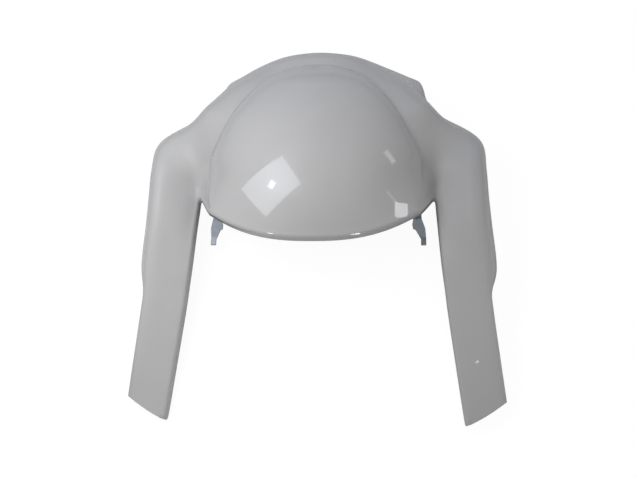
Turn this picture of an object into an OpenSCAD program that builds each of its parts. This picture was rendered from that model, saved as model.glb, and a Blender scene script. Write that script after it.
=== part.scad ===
// Rear seat cowl of a motorcycle: one moulded shell, two steel brackets and their screws.
// Millimetres. X is the width, Y runs to the rear, Z is up; the cowl lies on its lower edges.

/* [Shell] */
// Width over the front ends of the arms
cowl_width = 373; // [330:1:430]
// Length from the front ends of the arms to the tail
cowl_length = 388; // [330:1:440]
// Height of the hump above the lower edges
cowl_height = 139; // [125:1:165]
// Thickness of the moulded wall
shell_wall = 3; // [2.4:0.1:3.6]
// Depth of the turned-down edge along the arms and the lip
flange_depth = 6; // [3:0.5:6.5]

/* [Fixing bosses] */
// Diameter of the moulded boss under each side of the hump
boss_d = 15; // [12:0.5:18]
// Height of the flat end of the boss above the lower edges
boss_z = 50; // [46:0.5:54]
// Depth of the screw hole in the boss
boss_hole_depth = 11; // [10:0.5:14]

/* [Brackets] */
// Thickness of the steel strip
strip_t = 3; // [2:0.5:4]
// Width of the steel strip under the boss
strip_w = 8; // [7:0.5:9.5]
// Width of the foot at the free end of the strip
foot_w = 5.2; // [4:0.1:6.5]
// Diameter of the round pad that is screwed to the boss
pad_d = 15; // [13:0.5:18]
// Drop of the free end of the bracket below its pad
bracket_drop = 21; // [14:0.5:26]

/* [Screws] */
// Diameter of the screw thread
screw_d = 5; // [4:0.5:6]
// Diameter of the screw head
screw_head_d = 9; // [8:0.5:11]
// Height of the screw head
screw_head_h = 3.4; // [2.5:0.1:4.5]
// Length of the screw shank
screw_length = 12; // [10:0.5:13]

/* [Hidden] */

// The lines below are drawn for a cowl of this size and stretched to the sizes above
drawn_size = [373, 388, 139];
drawn_mid_y = 30.3;
stretch = [cowl_width / drawn_size.x, cowl_length / drawn_size.y, cowl_height / drawn_size.z];

rows_per_span = 3;
cols_per_span = 3;
dome_cols = 12;
roll_steps = 3;
roll_radius = shell_wall + 1;
roll_lift = 0.4;
roll_depth = 1.4;
tail_out = [0, 0.35, 0.94];

// Half of the shell in sections, from the front end of the arm to where the lip begins
// Each section: lower edge, side, ridge, middle, visible inner edge
arm_sections = [
    [[185.5, -138, 0], [186.5, -140, 15], [182.5, -143.5, 25], [165, -155, 19], [147.5, -163.5, 12]],
    [[179.5, -97, 0], [180.5, -99, 25], [177, -101, 38], [158, -101, 32], [138.5, -100, 26]],
    [[174, -54, 0], [175, -56, 36], [171, -57, 50], [152, -55, 43], [132, -53, 36]],
    [[172.5, -36, 0], [174, -38, 41], [169, -39, 55], [149.5, -37, 48], [130, -35, 40]],
    [[177, -11, 0], [182.5, -12, 32], [170, -12, 63], [148, -10, 56], [127, -8, 46]],
    [[173, 27, 0], [178, 27, 46], [164, 27, 77], [143, 28, 67], [124, 28, 50]],
    [[169, 57, 0], [174, 57, 60], [160, 57, 85], [137, 58, 68], [122.5, 61.5, 51]]
];

// Sections round the hump to the middle of the tail
// Each section: lower edge, side, ridge, middle, valley, crease of the hump, middle of the hump
hump_sections = [
    [[166.5, 86, 0], [172.3, 84, 66], [159, 82, 87], [140, 80, 79], [121, 78, 67], [107, 75, 81], [0, 28, 127]],
    [[162, 126, 0], [168.5, 120, 58], [157, 117, 76], [139, 108, 83], [119, 98, 84], [103, 90, 92],
        [0, 62, 137]],
    [[124, 165, 0], [127, 160, 38], [122, 150, 64], [121, 140, 87], [111, 129, 99], [88, 116, 105],
        [0, 97, 139]],
    [[120.5, 194, 0], [116.5, 192, 26], [109, 176, 58], [105.5, 161, 83], [98, 147, 98],
        [80, 131.5, 105.5], [0, 113, 138]],
    [[115, 222, 0], [111.5, 218, 15], [99, 197, 52], [91, 181, 78], [86, 165, 94], [71, 145, 105],
        [0, 127, 134.5]],
    [[104, 220.6, 13], [100, 216.5, 27], [88, 201, 57], [81, 187, 79], [76, 172, 94], [62, 156.5, 104],
        [0, 140, 130.5]],
    [[80, 217.8, 38], [77, 215.6, 46], [70, 209, 60], [65, 201, 76], [60, 189, 89], [49, 171, 101],
        [0, 152, 126]],
    [[43, 216, 66], [41, 215, 71], [38, 211.5, 79], [35, 205, 88], [32, 197, 95], [25, 183, 101],
        [0, 172, 114]],
    [[0, 213, 83], [0, 211.5, 86.5], [0, 208, 90.5], [0, 203, 94], [0, 197, 97], [0, 188, 99], [0, 188, 99]]
];

// The lip: where the crease of the hump meets it, its middle, and how fast it bends
lip_crease = [104.5, 30, 85];
lip_middle = [0, -5, 107];
lip_bend = 2.5;
rear_bend = 2;
hump_round = 0.64;

last_arm = len(arm_sections) - 1;
last_hump = len(hump_sections) - 1;
edge = 4;
crease = 5;
middle = 6;
junction = last_arm * rows_per_span;
edge_col = edge * cols_per_span;
crease_col = edge_col + cols_per_span;
centre_col = crease_col + dome_cols;
last_row = junction + (last_hump + 1) * rows_per_span;

function unit(v) = v / norm(v);
function flip(p) = [-p.x, p.y, p.z];
function beyond(a, b) = 2 * a - b;

// A smooth curve through four points, between the second and the third
function bend(a, b, c, d, t) =
    b + 0.5 * t * (c - a + t * (2 * a - 5 * b + 4 * c - d + t * (3 * b - a - 3 * c + d)));

// A list of points made n times finer, with the points before its start and after its end given
function finer(list, n, before, after) = let (last = len(list) - 1) [
    for (i = [0 : last - 1], k = [0 : n - 1])
        bend(i == 0 ? before : list[i - 1], list[i], list[i + 1],
            i == last - 1 ? after : list[i + 2], k / n),
    list[last]
];

// One line of the arm sections followed by the same line of the hump sections
function line(j) = [
    for (s = arm_sections) s[j],
    for (s = hump_sections) s[j]
];

// The same line with every row, mirrored beyond the middle of the tail
function rows_of(points) = let (last = len(points) - 1)
    finer(points, rows_per_span, beyond(points[0], points[1]), flip(points[last - 1]));

lower_line = [for (p = rows_of(line(0))) [p.x, p.y, max(p.z, 0)]];
side_lines = [lower_line, for (j = [1 : edge]) rows_of(line(j))];
crease_line = rows_of([lip_crease, for (s = hump_sections) s[crease]]);
middle_line = let (points = [lip_middle, for (s = hump_sections) s[middle]], last = len(points) - 1)
    finer(points, rows_per_span, beyond(points[0], points[1]), beyond(points[last], points[last - 1]));

// Points over the hump from its crease to its middle
function over_hump(from, to, bend_power) = [
    for (k = [1 : dome_cols]) let (w = cos(90 * k / dome_cols)) [
        from.x * w,
        to.y + (from.y - to.y) * pow(w, bend_power),
        from.z + (to.z - from.z) * pow(1 - w * w, hump_round)
    ]
];

// The visible edge of the gap for the rider: along the arm, then along the lip
corner = side_lines[edge][junction];
edge_line = [
    for (i = [0 : junction]) side_lines[edge][i],
    for (k = [1 : cols_per_span]) corner + (lip_crease - corner) * k / cols_per_span,
    for (p = over_hump(lip_crease, lip_middle, lip_bend)) p
];
edge_last = len(edge_line) - 1;

// Direction out of the material, level with the floor, at a point of that edge
function out_of(a, b) = unit([a.y - b.y, b.x - a.x, 0]);
function edge_out(k) =
    k == 0 ? out_of(edge_line[0], edge_line[1]) :
    k == edge_last ? [0, -1, 0] :
    unit(out_of(edge_line[k - 1], edge_line[k]) + out_of(edge_line[k], edge_line[k + 1]));
outs = [for (k = [0 : edge_last]) edge_out(k)];
roll_starts = [
    for (k = [0 : edge_last]) edge_line[k] - roll_radius * outs[k] + [0, 0, roll_lift * roll_radius]
];

// Every row of the outer skin
function across(points) = let (last = len(points) - 1)
    finer(points, cols_per_span, beyond(points[0], points[1]), beyond(points[last], points[last - 1]));
function arm_row(i) = across([for (j = [0 : edge - 1]) side_lines[j][i], roll_starts[i]]);
function lip_row() = [
    for (p = arm_row(junction)) p,
    for (k = [junction + 1 : edge_last]) roll_starts[k]
];
function hump_row(i) = let (
        k = i - junction,
        share = k / (last_row - junction),
        side = across([for (j = [0 : edge]) side_lines[j][i], crease_line[k]])
    ) [
        for (p = side) p,
        for (p = over_hump(crease_line[k], middle_line[k], lip_bend + (rear_bend - lip_bend) * share)) p
    ];
skin = [
    for (i = [0 : last_row]) i < junction ? arm_row(i) : i == junction ? lip_row() : hump_row(i)
];

// The direction out of the skin at one of its points
function has(i, j) =
    i >= 0 && i <= last_row && j >= 0 && (j <= edge_col || i >= junction) && j <= centre_col;
function near(i, j) =
    i > last_row ? flip(skin[2 * last_row - i][j]) :
    j > centre_col ? flip(skin[i][2 * centre_col - j]) :
    skin[i][j];
function step_row(i, j) =
    near(i == last_row || has(i + 1, j) ? i + 1 : i, j) - (has(i - 1, j) ? skin[i - 1][j] : skin[i][j]);
function step_col(i, j) =
    near(i, has(i, j + 1) || j == centre_col ? j + 1 : j) - (has(i, j - 1) ? skin[i][j - 1] : skin[i][j]);
function across_steps(i, j) = cross(step_row(i, j), step_col(i, j));
function skin_out(i, j) = let (out = across_steps(i, j))
    i == last_row && j >= crease_col ? unit(tail_out) :
    j == 0 && skin[i][0].z < 0.1 ? unit([out.x, out.y, 0]) :
    unit(out);

// The turned-down edge, from the skin over its roll to its lower end
function edge_index(k) = k <= junction ? [k, edge_col] : [junction, edge_col + k - junction];
drops = [for (s = [1 : roll_steps]) 90 * s / roll_steps, 90];
flange = [
    for (k = [0 : edge_last]) let (top = roll_starts[k]) [
        for (s = [0 : roll_steps]) let (down = s < roll_steps ? 0 : flange_depth)
            top + roll_radius * (sin(drops[s]) * outs[k] - [0, 0, roll_depth * (1 - cos(drops[s]))])
                - [0, 0, down]
    ]
];
flange_out = [
    for (k = [0 : edge_last]) [
        for (s = [0 : roll_steps]) sin(drops[s]) * outs[k] + [0, 0, cos(drops[s])]
    ]
];

// All points of the right half: outer skin, outer edge, then the same moved in by the wall
row_start = [for (i = 0, n = 0; i <= last_row; n = n + len(skin[i]), i = i + 1) n];
flange_start = row_start[last_row] + len(skin[last_row]);
skin_count = flange_start + (edge_last + 1) * (roll_steps + 1);
outer_points = [for (row = skin) each row, for (row = flange) each row];
outward = [
    for (i = [0 : last_row], j = [0 : len(skin[i]) - 1]) skin_out(i, j),
    for (row = flange_out) each row
];
half_points = [
    each outer_points,
    for (n = [0 : skin_count - 1]) outer_points[n] - shell_wall * outward[n]
];
half_count = 2 * skin_count;

function skin_at(i, j) = row_start[i] + (i == last_row ? min(j, crease_col) : j);
function flange_at(k, s) =
    s < 0 ? skin_at(edge_index(k)[0], edge_index(k)[1]) : flange_start + k * (roll_steps + 1) + s;
function two(a, b, c, d) = [[a, b, c], [a, c, d]];
outer_faces = [
    for (i = [0 : last_row - 1], j = [0 : len(skin[i]) - 2])
        if (j < edge_col || i >= junction)
            each two(skin_at(i, j), skin_at(i, j + 1), skin_at(i + 1, j + 1), skin_at(i + 1, j)),
    for (k = [0 : edge_last - 1], s = [-1 : roll_steps - 1])
        each two(flange_at(k, s), flange_at(k, s + 1), flange_at(k + 1, s + 1), flange_at(k + 1, s))
];
function inside(faces) = [for (f = faces) [f[0] + skin_count, f[2] + skin_count, f[1] + skin_count]];

// The open edges: the rim below, the front end of the arm and the end of the turned-down edge
function rim(list) = [
    for (n = [0 : len(list) - 2])
        each two(list[n + 1], list[n], list[n] + skin_count, list[n + 1] + skin_count)
];
half_faces = [for (f = concat(
    outer_faces,
    inside(outer_faces),
    rim([for (i = [last_row : -1 : 0]) skin_at(i, 0)]),
    rim([for (j = [0 : edge_col]) skin_at(0, j)]),
    rim([for (s = [-1 : roll_steps]) flange_at(0, s)]),
    rim([for (k = [0 : edge_last]) flange_at(k, roll_steps)])
)) if (f[0] != f[1] && f[1] != f[2] && f[2] != f[0]) f];

module skin_solid() {
    on_middle = [for (p = half_points) abs(p.x) < 0.001];
    function mirrored(n) = on_middle[n] ? n : n + half_count;
    level = [for (p = half_points) abs(p.x) < 0.001 ? [0, p.y, p.z] : p];
    translate([0, -drawn_mid_y * stretch.y, 0])
        scale(stretch)
            polyhedron(
                points = concat(level, [for (p = level) flip(p)]),
                faces = concat(
                    half_faces,
                    [for (f = half_faces) [mirrored(f[0]), mirrored(f[2]), mirrored(f[1])]]
                ),
                convexity = 8
            );
}

// The screw axis of the right side, seen from above
drawn_screw = [102.5, 58];
screw_at = [drawn_screw.x * stretch.x, (drawn_screw.y - drawn_mid_y) * stretch.y];
hole_gap = 0.2;
boss_round_h = 12;
drawn_post_top = 77;
post_z = boss_z + boss_round_h;
post_top_z = drawn_post_top * stretch.z;
post_top_d = 9;
bore_fn = 48;

module both_sides() {
    children();
    mirror([1, 0, 0]) children();
}

// A moulded post with a flat end and a hole for the screw
module boss() {
    translate([screw_at.x, screw_at.y, boss_z]) {
        cylinder(d = boss_d, h = post_z - boss_z, $fn = bore_fn);
        translate([0, 0, post_z - boss_z])
            cylinder(d1 = boss_d, d2 = post_top_d, h = post_top_z - post_z, $fn = bore_fn);
    }
}

module boss_hole() {
    translate([screw_at.x, screw_at.y, boss_z - 1])
        cylinder(d = screw_d + 2 * hole_gap, h = boss_hole_depth + 1, $fn = bore_fn);
}

module shell() {
    color([0.76, 0.76, 0.77])
        difference() {
            union() {
                skin_solid();
                both_sides() boss();
            }
            both_sides() boss_hole();
        }
}

// The strip seen from its side: level under the boss, a slope and a level foot
foot_from = 34;
slope_from = 22;
foot_to = 42;
strip_line = [[0, 0], [slope_from, 0], [foot_from, -bracket_drop], [foot_to, -bracket_drop]];

// The strip seen from above: it steps outwards and narrows on its slope, below a small lug
jog = 7.6;
lug_reach = 0.6;
lug_from = 25;
lug_to = 28;
lug_step = 3.1;
bend_reach = 4.7;
inner_edge = [
    [-strip_w / 2, 0], [-strip_w / 2, -slope_from], [-strip_w / 2 - lug_reach, -lug_from],
    [-strip_w / 2 + lug_reach, -lug_to], [-strip_w / 2 + lug_step, -lug_to - lug_reach],
    [jog - foot_w / 2, -foot_from - lug_reach], [jog - foot_w / 2, -foot_to]
];
outer_edge = [
    [jog + foot_w / 2, -foot_to], [jog + foot_w / 2, -foot_from], [strip_w / 2 + bend_reach, -lug_to],
    [strip_w / 2 + lug_reach, -slope_from], [strip_w / 2, 0]
];

module strip() {
    wide = 4 * (jog + strip_w);
    intersection() {
        translate([0, 0, -bracket_drop - 2 * strip_t])
            linear_extrude(bracket_drop + 3 * strip_t) polygon(concat(inner_edge, outer_edge));
        rotate([90, 0, -90])
            linear_extrude(wide, center = true)
                polygon(concat(strip_line, [
                    for (k = [len(strip_line) - 1 : -1 : 0]) strip_line[k] - [0, strip_t]
                ]));
    }
}

// The right bracket: a round pad under the boss and the bent strip
module bracket() {
    translate([screw_at.x, screw_at.y, boss_z])
        difference() {
            union() {
                translate([0, 0, -strip_t]) cylinder(d = pad_d, h = strip_t, $fn = bore_fn);
                strip();
            }
            translate([0, 0, -strip_t - 1])
                cylinder(d = screw_d + 2 * hole_gap, h = strip_t + 2, $fn = bore_fn);
        }
}

module bracket_right() {
    color([0.44, 0.5, 0.55]) bracket();
}

module bracket_left() {
    color([0.44, 0.5, 0.55]) mirror([1, 0, 0]) bracket();
}

// One screw, head down, with a hexagon socket
socket_d = 4.05;
socket_depth = 1.9;

module screw() {
    translate([screw_at.x, screw_at.y, boss_z - strip_t]) {
        cylinder(d = screw_d, h = screw_length, $fn = bore_fn);
        difference() {
            translate([0, 0, -screw_head_h]) cylinder(d = screw_head_d, h = screw_head_h, $fn = bore_fn);
            translate([0, 0, -screw_head_h - 1]) cylinder(d = socket_d, h = socket_depth + 1, $fn = 6);
        }
    }
}

module screws() {
    color([0.6, 0.61, 0.63]) both_sides() screw();
}

shell();
bracket_right();
bracket_left();
screws();
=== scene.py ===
"""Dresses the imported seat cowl: a smooth shell, painted steel brackets and plated screws."""
import math

import bmesh
import bpy
from mathutils import Matrix, Vector
from mathutils.bvhtree import BVHTree


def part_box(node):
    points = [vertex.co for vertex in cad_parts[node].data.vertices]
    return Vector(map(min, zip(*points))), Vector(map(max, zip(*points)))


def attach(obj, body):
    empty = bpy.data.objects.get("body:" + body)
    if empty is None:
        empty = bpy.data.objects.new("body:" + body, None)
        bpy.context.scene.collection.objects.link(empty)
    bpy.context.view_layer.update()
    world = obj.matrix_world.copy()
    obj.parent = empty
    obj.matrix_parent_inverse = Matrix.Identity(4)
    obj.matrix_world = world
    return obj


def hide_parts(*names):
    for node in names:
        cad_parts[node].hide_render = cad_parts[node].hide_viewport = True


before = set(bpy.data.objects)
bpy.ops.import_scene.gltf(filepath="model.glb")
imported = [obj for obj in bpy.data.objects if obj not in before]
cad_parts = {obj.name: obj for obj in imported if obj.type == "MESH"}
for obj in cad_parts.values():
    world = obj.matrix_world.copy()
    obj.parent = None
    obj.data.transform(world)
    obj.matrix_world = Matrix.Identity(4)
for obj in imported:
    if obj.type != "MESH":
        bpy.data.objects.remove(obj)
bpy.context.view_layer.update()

MM = 0.001

# The shell's sections, in millimetres, from the lower edge of the skirt inwards. They are those
# of the part's source, but the inner side of the arms and the valley at the shoulders are a
# little flatter, for the even shading that the photograph shows there
MID_Y = 30.3
WALL = 3.0
ARM_SECTIONS = [
    [(185.5, -138, 0), (186.5, -140, 15), (182.5, -143.5, 25), (165, -155, 20.5), (147, -163, 15)],
    [(179.5, -97, 0), (180.5, -99, 25), (177, -101, 38), (158, -101.5, 34), (138, -101, 29.5)],
    [(174, -54, 0), (175, -56, 36), (171, -57, 50), (152, -55.5, 45), (131.5, -54, 39.5)],
    [(172.5, -36, 0), (174, -38, 41), (169, -39, 55), (149.5, -37.5, 49.5), (129.5, -36, 43.5)],
    [(177, -11, 0), (182.5, -12, 32), (170, -12, 63), (148, -10.5, 58), (126, -9.5, 51)],
    [(173, 27, 0), (178, 27, 46), (164, 27, 77), (143, 27, 70.5), (123, 25, 57.5)],
    [(169, 57, 0), (174, 57, 60), (160, 57, 85), (137, 57.5, 73.5), (121, 57.5, 59.5)],
]
HUMP_SECTIONS = [
    [(166.5, 86, 0), (172.3, 84, 66), (159, 82, 87), (140, 80, 82), (121, 78, 72.5),
     (107, 75, 81.5), (0, 28, 127)],
    [(162, 126, 0), (168.5, 120, 58), (157, 117, 76), (139, 108, 83), (119, 98, 84),
     (103, 90, 92), (0, 62, 137)],
    [(124, 165, 0), (127, 160, 38), (122, 150, 64), (121, 140, 87), (111, 129, 99),
     (88, 116, 105), (0, 97, 139)],
    [(120.5, 194, 0), (116.5, 192, 26), (109, 176, 58), (105.5, 161, 83), (98, 147, 98),
     (80, 131.5, 105.5), (0, 113, 138)],
    [(115, 222, 0), (111.5, 218, 15), (99, 197, 52), (91, 181, 78), (86, 165, 94),
     (71, 145, 105), (0, 127, 134.5)],
    [(104, 220.6, 13), (100, 216.5, 27), (88, 201, 57), (81, 187, 79), (76, 172, 94),
     (62, 156.5, 104), (0, 140, 130.5)],
    [(80, 217.8, 38), (77, 215.6, 46), (70, 209, 60), (65, 201, 76), (60, 189, 89),
     (49, 171, 101), (0, 152, 126)],
    [(43, 216, 66), (41, 215, 71), (38, 211.5, 79), (35, 205, 88), (32, 197, 95),
     (25, 183, 101), (0, 172, 114)],
    [(0, 213, 83), (0, 211.5, 86.5), (0, 208, 90.5), (0, 203, 94), (0, 197, 97),
     (0, 188, 99), (0, 188, 99)],
]

# Which point of a section lies on the opening's edge, on the crease and on the middle line
EDGE = 4
CREASE = 5
MIDDLE = 6

# The lip's row of the hump, and how full the hump is in plan at both ends and in height
LIP_CREASE = Vector((104.5, 30, 85))
LIP_MIDDLE = Vector((0, -5, 107))
LIP_BEND = 2.5
REAR_BEND = 2.0
HUMP_ROUND = 0.64

# The turned-down edge of the opening; its roll is lifted and drawn down by shares of its radius
ROLL = 4.0
ROLL_LIFT = 0.4
ROLL_DROP = 1.4
FLANGE = 6.0

# How finely the skin is divided, and the point of the lip that guides the curve up to it
ROWS_PER_SPAN = 3
COLS_PER_SPAN = 3
HUMP_COLS = 12
ROLL_STEPS = 3
LIP_GUIDE = 3

# How the mesh is welded, smoothed and creased
WELD_DIGITS = 6
HUMP_CREASE = 0.15
WALL_CREASE = 0.55
SMOOTH_LEVELS = 2
SHARP_ANGLE = math.radians(50)

# The bosses and their screw holes
SCREW_X = 102.5
SCREW_Y = 58 - MID_Y
BOSS_Z = 50.0
BOSS_R = 7.5
BOSS_CHAMFER = 0.4
BOSS_SIDES = 40
POST_Z = 62.0
POST_TOP_Z = 77.0
POST_TOP_R = 4.5
HOLE_R = 2.7
HOLE_DEPTH = 11.0

# The soft edges of the brackets and the screws
BRACKET_ROUND = 0.4
SCREW_ROUND = 0.25
ROUND_SEGMENTS = 2
ROUND_ANGLE = math.radians(40)

# The photograph's camera
IMAGE_W = 636
IMAGE_H = 477
FOCAL_PX = 700.0
SENSOR_MM = 36.0
CLIP_START = 0.01
LOOK_DOWN = math.radians(70.0)
LOOK_SIDE = math.radians(4.6)
AIM = Vector((6, -MID_Y, 91)) * MM
AIM_DISTANCE = 0.665

# The ground: its half width and colour, how white the camera sees it, and how much of the
# shadows is left on it
FLOOR_HALF = 6.0
FLOOR_COLOUR = (0.6, 0.6, 0.6)
GROUND_WHITE = 1.13
SHADOW_SHARE = 0.16

# The studio's walls: brighter and cooler behind on the left, dimmer and warmer across from there
BRIGHT_SIDE = (-0.7, 0.7, 0.14)
BRIGHT_SKY = (0.62, 0.64, 0.68)
DIM_SKY = (0.58, 0.56, 0.54)
SKY_STRENGTH = 0.4

# Soft lights that brighten the surfaces and aren't seen in them: name, place, target, size,
# power, colour
SOFT_LIGHTS = [
    ("near_left", (-0.22, -0.01, 0.5), (-0.3, -0.01, 0), 0.3, 1.85, (1.0, 0.995, 1.0)),
    ("rear", (0.1, 1.0, 0.5), AIM, 0.8, 2.6, (0.86, 0.9, 1.0)),
    ("low_right", (0.7, -0.05, 0.13), AIM, 0.4, 0.95, (1.0, 0.97, 0.98)),
    ("low_front", (0.0, -0.75, 0.12), AIM, 0.5, 0.8, (1.0, 1.0, 0.97)),
]

# Small lights that are only seen in the shell, and the angle of their beams: name, corners of the
# reflection in the photograph, distance, radiance, colour
BEAM = math.radians(110)
MIRRORED_LIGHTS = [
    ("window", [(247, 193), (286, 149), (302, 190), (265, 212)],
     0.014, 2.75, (0.9, 0.94, 1.0)),
    ("window_lamp", [(268, 186), (272, 178), (276, 184), (272, 190)],
     0.009, 4.2, (0.94, 0.97, 1.0)),
    ("small_window", [(395, 220), (394, 203), (408, 203), (407, 215)],
     0.006, 4.0, (0.96, 0.96, 1.0)),
    ("blind", [(384, 152), (387, 150), (396, 161), (391, 165)],
     0.012, 1.7, (1.0, 0.98, 0.9)),
    ("blind_low", [(384, 193), (386, 192), (399, 201), (398, 203)],
     0.012, 1.1, (1.0, 0.97, 0.88)),
    ("glint_left", [(267, 232.7), (273, 233.1), (273, 233.9), (267, 233.5)],
     0.012, 10.0, (1.0, 1.0, 1.0)),
    ("glint_right", [(351, 233.9), (360, 233.2), (360, 234.0), (351, 234.7)],
     0.012, 10.0, (1.0, 1.0, 1.0)),
    ("speck", [(475.6, 362), (478.4, 360.8), (478.6, 361.8), (475.8, 363)],
     0.008, 9.0, (1.0, 1.0, 1.0)),
]


def bend(a, b, c, d, t):
    """A smooth curve through four points, between the second and the third."""
    return b + 0.5 * t * (c - a + t * (2 * a - 5 * b + 4 * c - d + t * (3 * b - a - 3 * c + d)))


def flip(p):
    return Vector((-p.x, p.y, p.z))


def finer(points, n, before, after):
    """The list of points made n times finer."""
    full = [before, *points, after]
    out = [bend(*full[i:i + 4], k / n) for i in range(len(points) - 1) for k in range(n)]
    return out + [points[-1]]


def free_ends(points, n):
    return finer(points, n, 2 * points[0] - points[1], 2 * points[-1] - points[-2])


def line(index):
    return [Vector(s[index]) for s in ARM_SECTIONS + HUMP_SECTIONS]


def to_tail(points):
    """A line with every row, mirrored beyond the middle of the tail."""
    return finer(points, ROWS_PER_SPAN, 2 * points[0] - points[1], flip(points[-2]))


def over_hump(start, end, power):
    """Points over the hump from its crease to its middle."""
    out = []
    for k in range(1, HUMP_COLS + 1):
        w = math.cos(math.pi / 2 * k / HUMP_COLS)
        out.append(Vector((
            start.x * w,
            end.y + (start.y - end.y) * w ** power,
            start.z + (end.z - start.z) * (1 - w * w) ** HUMP_ROUND,
        )))
    out[-1].x = 0.0
    return out


def opening_edge(inner_side, junction):
    """The edge of the seat opening, from the front end of the arm to the middle of the lip."""
    corner = inner_side[junction]
    lip = over_hump(LIP_CREASE, LIP_MIDDLE, LIP_BEND)
    curve = finer([corner, LIP_CREASE], COLS_PER_SPAN, 2 * corner - LIP_CREASE, lip[LIP_GUIDE])
    return inner_side[:junction + 1] + curve[1:] + lip


def level_out(a, b):
    """The level direction into the opening, square to the way from one point to the next."""
    return Vector((a.y - b.y, b.x - a.x, 0)).normalized()


def outs_of(edge):
    """The level direction into the opening at each point of its edge."""
    spans = [level_out(a, b) for a, b in zip(edge, edge[1:])]
    between = [(a + b).normalized() for a, b in zip(spans, spans[1:])]
    return [spans[0], *between, Vector((0, -1, 0))]


def turned_down(starts, outs):
    """The strips of points that roll over the opening's edge and turn down, one for each start."""
    strips = []
    for start, out in zip(starts, outs):
        strip = []
        for s in range(1, ROLL_STEPS + 2):
            angle = math.pi / 2 * min(s, ROLL_STEPS) / ROLL_STEPS
            down = ROLL_DROP * ROLL * (1 - math.cos(angle)) + (FLANGE if s > ROLL_STEPS else 0)
            strip.append(start + ROLL * math.sin(angle) * out - Vector((0, 0, down)))
        strips.append(strip)
    return strips


def skin_grid():
    """The outer skin of the right half as rows of points, and the turned-down edge beside it."""
    junction = (len(ARM_SECTIONS) - 1) * ROWS_PER_SPAN
    sides = [to_tail(line(j)) for j in range(EDGE + 1)]
    for p in sides[0]:
        p.z = max(p.z, 0.0)
    crease = to_tail([LIP_CREASE] + [Vector(s[CREASE]) for s in HUMP_SECTIONS])
    middle = free_ends([LIP_MIDDLE] + [Vector(s[MIDDLE]) for s in HUMP_SECTIONS], ROWS_PER_SPAN)
    edge = opening_edge(sides[EDGE], junction)
    outs = outs_of(edge)
    starts = [e - ROLL * o + Vector((0, 0, ROLL_LIFT * ROLL)) for e, o in zip(edge, outs)]
    rows = []
    last_row = len(sides[0]) - 1
    for i in range(last_row + 1):
        if i <= junction:
            row = free_ends([sides[j][i] for j in range(EDGE)] + [starts[i]], COLS_PER_SPAN)
            if i == junction:
                row += starts[junction + 1:]
        else:
            k = i - junction
            share = k / (last_row - junction)
            row = free_ends([sides[j][i] for j in range(EDGE + 1)] + [crease[k]], COLS_PER_SPAN)
            row += over_hump(crease[k], middle[k], LIP_BEND + (REAR_BEND - LIP_BEND) * share)
        rows.append(row)
    return rows, turned_down(starts, outs), junction


def add_skin(bm):
    """Fills the mesh with both halves of the outer skin, and gives the edges of the crease."""
    rows, turned, junction = skin_grid()
    edge_col = EDGE * COLS_PER_SPAN
    crease_col = edge_col + COLS_PER_SPAN
    last_row = len(rows) - 1
    seen = {}

    def vert(p, side):
        place = Vector((p.x * side, p.y - MID_Y, p.z)) * MM
        key = tuple(round(c, WELD_DIGITS) for c in place)
        if key not in seen:
            seen[key] = bm.verts.new(place)
        return seen[key]

    creases = []
    for side in (1, -1):
        grid = [[vert(p, side) for p in row] for row in rows]
        lower = [[vert(p, side) for p in strip] for strip in turned]
        starts = [grid[i][edge_col] for i in range(junction)] + grid[junction][edge_col:]
        quads = []
        for i in range(last_row):
            for j in range(len(rows[i]) - 1):
                if j < edge_col or i >= junction:
                    quads.append((grid[i][j], grid[i][j + 1], grid[i + 1][j + 1], grid[i + 1][j]))
        for k in range(len(starts) - 1):
            a, b = [starts[k], *lower[k]], [starts[k + 1], *lower[k + 1]]
            quads += [(a[s], a[s + 1], b[s + 1], b[s]) for s in range(len(a) - 1)]
        for quad in quads:
            corners = list(dict.fromkeys(quad))
            if len(corners) > 2 and bm.faces.get(corners) is None:
                bm.faces.new(corners if side < 0 else corners[::-1])
        creases += [(grid[i][crease_col], grid[i + 1][crease_col])
                    for i in range(junction, last_row)]
    return [bm.edges.get(pair) for pair in creases]


def add_boss(bm, side):
    """A moulded post with a flat end and a screw hole, under one side of the hump."""
    profile = [
        (0.0, BOSS_Z + HOLE_DEPTH),
        (HOLE_R, BOSS_Z + HOLE_DEPTH),
        (HOLE_R, BOSS_Z),
        (BOSS_R - BOSS_CHAMFER, BOSS_Z),
        (BOSS_R, BOSS_Z + BOSS_CHAMFER),
        (BOSS_R, POST_Z),
        (POST_TOP_R, POST_TOP_Z),
        (0.0, POST_TOP_Z),
    ]
    rings = []
    for radius, z in profile:
        ring = []
        for k in range(BOSS_SIDES if radius else 1):
            angle = 2 * math.pi * k / BOSS_SIDES
            x = side * SCREW_X + radius * math.cos(angle)
            y = SCREW_Y + radius * math.sin(angle)
            ring.append(bm.verts.new(Vector((x, y, z)) * MM))
        rings.append(ring)
    for a, b in zip(rings, rings[1:]):
        for k in range(BOSS_SIDES):
            corners = [a[k % len(a)], a[(k + 1) % len(a)], b[(k + 1) % len(b)], b[k % len(b)]]
            face = bm.faces.new(list(dict.fromkeys(corners)))
            face.smooth = True
            face.material_index = 1


def skin_mesh():
    """The outer skin with its faces turned outwards and a soft crease round the hump."""
    bm = bmesh.new()
    layer = bm.edges.layers.float.new("crease_edge")
    creases = add_skin(bm)
    bmesh.ops.recalc_face_normals(bm, faces=bm.faces)
    top = max(bm.verts, key=lambda v: v.co.z)
    if top.normal.z < 0:
        bmesh.ops.reverse_faces(bm, faces=bm.faces)
    for e in creases:
        if e is not None:
            e[layer] = HUMP_CREASE
    mesh = bpy.data.meshes.new("shell_skin")
    bm.to_mesh(mesh)
    bm.free()
    return mesh


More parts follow.
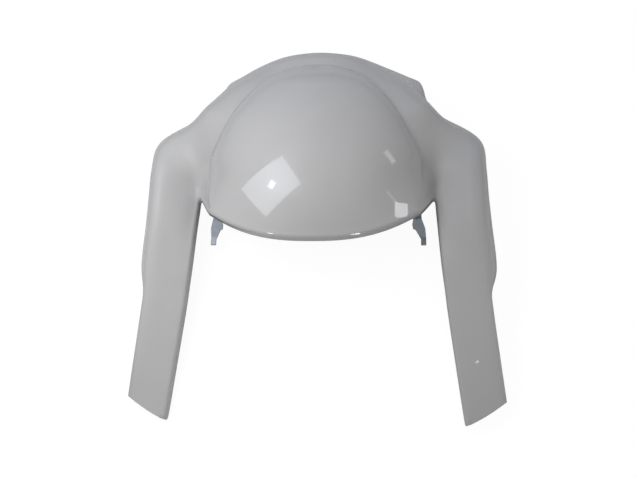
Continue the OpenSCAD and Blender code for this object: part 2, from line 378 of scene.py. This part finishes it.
def with_wall(piece):
    """The piece's mesh with the thickness of its wall, made smooth."""
    wall = piece.modifiers.new("wall", "SOLIDIFY")
    wall.thickness = WALL * MM
    wall.offset = -1.0
    wall.use_even_offset = True
    wall.thickness_clamp = 1.0
    wall.material_offset = 1
    wall.edge_crease_outer = WALL_CREASE
    wall.edge_crease_inner = WALL_CREASE
    wall.edge_crease_rim = 0.0
    smooth = piece.modifiers.new("smooth", "SUBSURF")
    smooth.levels = SMOOTH_LEVELS
    smooth.render_levels = SMOOTH_LEVELS
    depsgraph = bpy.context.evaluated_depsgraph_get()
    baked = bpy.data.meshes.new_from_object(piece.evaluated_get(depsgraph))
    piece.modifiers.clear()
    return baked


def complete_mesh(mesh):
    """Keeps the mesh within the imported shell's box, shades it smooth and adds the bosses."""
    low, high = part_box("shell")
    bm = bmesh.new()
    bm.from_mesh(mesh)
    for vert in bm.verts:
        vert.co = [min(max(c, a), b) for c, a, b in zip(vert.co, low, high)]
    for face in bm.faces:
        face.smooth = True
    for side in (1, -1):
        add_boss(bm, side)
    bm.to_mesh(mesh)
    bm.free()
    mesh.set_sharp_from_angle(angle=SHARP_ANGLE)


def new_object(name, data):
    """An object that stands in the scene."""
    obj = bpy.data.objects.new(name, data)
    bpy.context.scene.collection.objects.link(obj)
    return obj


def shell_piece(paint, raw):
    """The moulded shell: outer skin, wall thickness, rounded rims and the two bosses."""
    mesh = skin_mesh()
    piece = new_object("cowl_shell", mesh)
    mesh.materials.append(paint)
    mesh.materials.append(raw)
    piece.data = with_wall(piece)
    complete_mesh(piece.data)
    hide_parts("shell")
    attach(piece, "root")
    return piece


class Nodes:
    """A short way to write a material's nodes."""

    def __init__(self, name):
        self.material = bpy.data.materials.new(name)
        self.material.use_nodes = True
        self.tree = self.material.node_tree
        self.shader = self.tree.nodes["Principled BSDF"]
        self.place = self.tree.nodes.new("ShaderNodeTexCoord").outputs["Object"]

    def join(self, a, b):
        self.tree.links.new(a, b)

    def set(self, **values):
        for key, value in values.items():
            self.shader.inputs[key.replace("_", " ")].default_value = value

    def noise(self, scale, detail, rough=0.5):
        node = self.tree.nodes.new("ShaderNodeTexNoise")
        node.inputs["Scale"].default_value = scale
        node.inputs["Detail"].default_value = detail
        node.inputs["Roughness"].default_value = rough
        self.join(self.place, node.inputs["Vector"])
        return node.outputs["Fac"]

    def ramp(self, source, stops):
        node = self.tree.nodes.new("ShaderNodeValToRGB")
        node.color_ramp.elements[0].position = stops[0][0]
        node.color_ramp.elements[0].color = (*stops[0][1], 1)
        node.color_ramp.elements[1].position = stops[-1][0]
        node.color_ramp.elements[1].color = (*stops[-1][1], 1)
        for position, colour in stops[1:-1]:
            node.color_ramp.elements.new(position).color = (*colour, 1)
        self.join(source, node.inputs["Fac"])
        return node.outputs["Color"]

    def spread(self, source, low, high, start=0.0, end=1.0):
        node = self.tree.nodes.new("ShaderNodeMapRange")
        node.inputs["From Min"].default_value = start
        node.inputs["From Max"].default_value = end
        node.inputs["To Min"].default_value = low
        node.inputs["To Max"].default_value = high
        self.join(source, node.inputs["Value"])
        return node.outputs["Result"]

    def bump(self, source, distance):
        node = self.tree.nodes.new("ShaderNodeBump")
        node.inputs["Strength"].default_value = 1.0
        node.inputs["Distance"].default_value = distance
        self.join(source, node.inputs["Height"])
        self.join(node.outputs["Normal"], self.shader.inputs["Normal"])


def paint_material():
    """Light grey gloss paint under a clear coat, with faint clouds and fine handling marks."""
    m = Nodes("gloss_paint")
    cloud = m.noise(scale=9.0, detail=4.0)
    tint = m.ramp(cloud, [(0.35, (0.485, 0.485, 0.49)), (0.65, (0.52, 0.52, 0.52))])
    m.join(tint, m.shader.inputs["Base Color"])
    marks = m.noise(scale=260.0, detail=5.0, rough=0.65)
    roughness = m.spread(marks, low=0.16, high=0.3, start=0.35, end=0.75)
    m.join(roughness, m.shader.inputs["Roughness"])
    m.set(Coat_Weight=1.0, Coat_Roughness=0.03, Coat_IOR=1.5, IOR=1.46)
    m.bump(m.noise(scale=420.0, detail=2.0), distance=0.00002)
    return m.material


def raw_plastic():
    """The unpainted inside: matt moulded plastic with faint clouds and a fine grain."""
    m = Nodes("raw_plastic")
    cloud = m.noise(scale=14.0, detail=5.0)
    tint = m.ramp(cloud, [(0.35, (0.3, 0.3, 0.305)), (0.65, (0.37, 0.37, 0.37))])
    m.join(tint, m.shader.inputs["Base Color"])
    m.set(Roughness=0.62, IOR=1.46)
    m.bump(m.noise(scale=900.0, detail=4.0), distance=0.00006)
    return m.material


def painted_steel():
    """Blue-grey paint on the strips, with paler scuffs."""
    m = Nodes("bracket_paint")
    scuff = m.noise(scale=180.0, detail=5.0, rough=0.6)
    tint = m.ramp(scuff, [
        (0.3, (0.44, 0.5, 0.57)),
        (0.58, (0.52, 0.58, 0.65)),
        (0.72, (0.62, 0.65, 0.69)),
    ])
    m.join(tint, m.shader.inputs["Base Color"])
    m.join(m.spread(scuff, low=0.3, high=0.5), m.shader.inputs["Roughness"])
    m.set(Metallic=0.15)
    m.bump(m.noise(scale=1200.0, detail=3.0), distance=0.00002)
    return m.material


def plated_steel():
    """Zinc plating on the screws, duller in spots."""
    m = Nodes("screw_plating")
    dull = m.noise(scale=700.0, detail=4.0, rough=0.6)
    tint = m.ramp(dull, [(0.3, (0.42, 0.43, 0.44)), (0.7, (0.6, 0.61, 0.62))])
    m.join(tint, m.shader.inputs["Base Color"])
    m.join(m.spread(dull, low=0.24, high=0.42), m.shader.inputs["Roughness"])
    m.set(Metallic=1.0)
    return m.material


def dress_node(name, material, round_mm):
    """Gives a carried-over node its material and softly rounded edges."""
    obj = bpy.data.objects[name]
    obj.data.materials.clear()
    obj.data.materials.append(material)
    edges = obj.modifiers.new("rounded_edges", "BEVEL")
    edges.width = round_mm * MM
    edges.segments = ROUND_SEGMENTS
    edges.limit_method = "ANGLE"
    edges.angle_limit = ROUND_ANGLE


def camera_axes():
    """The camera's directions to its right, up and back, in the part's frame."""
    right = Vector((
        math.cos(LOOK_SIDE),
        math.sin(LOOK_SIDE) * math.cos(LOOK_DOWN),
        -math.sin(LOOK_SIDE) * math.sin(LOOK_DOWN),
    ))
    up = Vector((0, math.sin(LOOK_DOWN), math.cos(LOOK_DOWN)))
    return right, up, right.cross(up)


def add_camera():
    """Sets the photograph's camera up, and gives its place."""
    data = bpy.data.cameras.new("camera")
    data.sensor_width = SENSOR_MM
    data.lens = SENSOR_MM * FOCAL_PX / IMAGE_W
    data.clip_start = CLIP_START
    camera = new_object("camera", data)
    right, up, back = camera_axes()
    place = AIM + back * AIM_DISTANCE
    turn = Matrix((right, up, back)).transposed()
    camera.matrix_world = Matrix.Translation(place) @ turn.to_4x4()
    bpy.context.scene.camera = camera
    return place


def seen_by_mirror(tree, place, pixel):
    """Where a pixel of the photograph meets the shell, and the way in which it is reflected."""
    right, up, back = camera_axes()
    ray = right * (pixel[0] - IMAGE_W / 2) - up * (pixel[1] - IMAGE_H / 2) - back * FOCAL_PX
    ray.normalize()
    spot, normal, _, _ = tree.ray_cast(place, ray)
    return spot, ray.reflect(normal)


def mirrored_light(tree, place, name, corners, distance, radiance, colour):
    """A small light that the shell reflects between four pixels of the photograph.

    It brightens nothing else. Its power is the one that gives its narrow beam this radiance.
    """
    ends, ways = [], []
    for pixel in corners:
        spot, way = seen_by_mirror(tree, place, pixel)
        ends.append(spot + way * distance)
        ways.append(way)
    back = sum(ways, Vector()).normalized()
    across = ends[1] - ends[0] + ends[2] - ends[3]
    across -= across.dot(back) * back
    along = back.cross(across).normalized()
    data = bpy.data.lights.new(name, "AREA")
    data.shape = "RECTANGLE"
    data.size = across.length / 2
    data.size_y = abs((ends[3] - ends[0] + ends[2] - ends[1]).dot(along)) / 2
    data.spread = BEAM
    beam_share = 1 - BEAM / 2 / math.tan(BEAM / 2)
    data.energy = radiance * math.pi * data.size * data.size_y * beam_share
    data.color = colour
    data.use_shadow = False
    light = new_object(name, data)
    turn = Matrix((across.normalized(), along, back)).transposed()
    light.matrix_world = Matrix.Translation(sum(ends, Vector()) / len(ends)) @ turn.to_4x4()
    light.visible_camera = False
    light.visible_diffuse = False


def area_light(name, place, target, size, power, colour):
    """A soft light that is turned to its target and isn't seen in the surfaces."""
    data = bpy.data.lights.new(name, "AREA")
    data.size = size
    data.energy = power
    data.color = colour
    light = new_object(name, data)
    light.visible_glossy = False
    light.visible_camera = False
    light.location = place
    light.rotation_euler = (Vector(target) - Vector(place)).to_track_quat("-Z", "Y").to_euler()


def camera_only_white(tree, shader, white, shadow_share):
    """Mixes a shader with plain white for camera and glass rays, so that the ground reads white."""
    path = tree.nodes.new("ShaderNodeLightPath")
    glow = tree.nodes.new("ShaderNodeEmission")
    glow.inputs["Color"].default_value = (white, white, white, 1)
    most = tree.nodes.new("ShaderNodeMath")
    most.operation = "MAXIMUM"
    tree.links.new(path.outputs["Is Camera Ray"], most.inputs[0])
    tree.links.new(path.outputs["Is Transmission Ray"], most.inputs[1])
    share = tree.nodes.new("ShaderNodeMath")
    share.operation = "MULTIPLY"
    share.inputs[1].default_value = 1 - shadow_share
    tree.links.new(most.outputs[0], share.inputs[0])
    mix = tree.nodes.new("ShaderNodeMixShader")
    tree.links.new(share.outputs[0], mix.inputs["Fac"])
    tree.links.new(shader, mix.inputs[1])
    tree.links.new(glow.outputs[0], mix.inputs[2])
    return mix.outputs[0]


def add_floor():
    """The white ground, which keeps a faint shadow."""
    mesh = bpy.data.meshes.new("floor")
    corners = [(x * FLOOR_HALF, y * FLOOR_HALF, 0) for x, y in ((-1, -1), (1, -1), (1, 1), (-1, 1))]
    mesh.from_pydata(corners, [], [(0, 1, 2, 3)])
    floor = new_object("floor", mesh)
    material = bpy.data.materials.new("floor")
    material.use_nodes = True
    tree = material.node_tree
    tree.nodes.clear()
    plain = tree.nodes.new("ShaderNodeBsdfDiffuse")
    plain.inputs["Color"].default_value = (*FLOOR_COLOUR, 1)
    surface = camera_only_white(tree, plain.outputs[0], GROUND_WHITE, SHADOW_SHARE)
    out = tree.nodes.new("ShaderNodeOutputMaterial")
    tree.links.new(surface, out.inputs["Surface"])
    mesh.materials.append(material)


def add_world():
    """The studio's soft light from all sides, with a white ground for the camera."""
    world = bpy.data.worlds.new("studio")
    world.use_nodes = True
    tree = world.node_tree
    tree.nodes.clear()
    way = tree.nodes.new("ShaderNodeTexCoord")
    side = tree.nodes.new("ShaderNodeVectorMath")
    side.operation = "DOT_PRODUCT"
    side.inputs[1].default_value = BRIGHT_SIDE
    tree.links.new(way.outputs["Generated"], side.inputs[0])
    level = tree.nodes.new("ShaderNodeMapRange")
    level.inputs["From Min"].default_value = -1.0
    tree.links.new(side.outputs["Value"], level.inputs["Value"])
    ramp = tree.nodes.new("ShaderNodeValToRGB")
    ramp.color_ramp.elements[0].color = (*DIM_SKY, 1)
    ramp.color_ramp.elements[1].color = (*BRIGHT_SKY, 1)
    tree.links.new(level.outputs["Result"], ramp.inputs["Fac"])
    soft = tree.nodes.new("ShaderNodeBackground")
    soft.inputs["Strength"].default_value = SKY_STRENGTH
    tree.links.new(ramp.outputs["Color"], soft.inputs["Color"])
    white = tree.nodes.new("ShaderNodeBackground")
    white.inputs["Color"].default_value = (1, 1, 1, 1)
    path = tree.nodes.new("ShaderNodeLightPath")
    mix = tree.nodes.new("ShaderNodeMixShader")
    out = tree.nodes.new("ShaderNodeOutputWorld")
    tree.links.new(path.outputs["Is Camera Ray"], mix.inputs["Fac"])
    tree.links.new(soft.outputs[0], mix.inputs[1])
    tree.links.new(white.outputs[0], mix.inputs[2])
    tree.links.new(mix.outputs[0], out.inputs["Surface"])
    bpy.context.scene.world = world


camera_place = add_camera()
shell = shell_piece(paint_material(), raw_plastic())
bracket_paint = painted_steel()
dress_node("bracket_right", bracket_paint, BRACKET_ROUND)
dress_node("bracket_left", bracket_paint, BRACKET_ROUND)
dress_node("screws", plated_steel(), SCREW_ROUND)

add_world()
add_floor()
mirror_tree = BVHTree.FromObject(shell, bpy.context.evaluated_depsgraph_get())
for light in MIRRORED_LIGHTS:
    mirrored_light(mirror_tree, camera_place, *light)
for light in SOFT_LIGHTS:
    area_light(*light)

bpy.context.scene.view_settings.view_transform = "Standard"
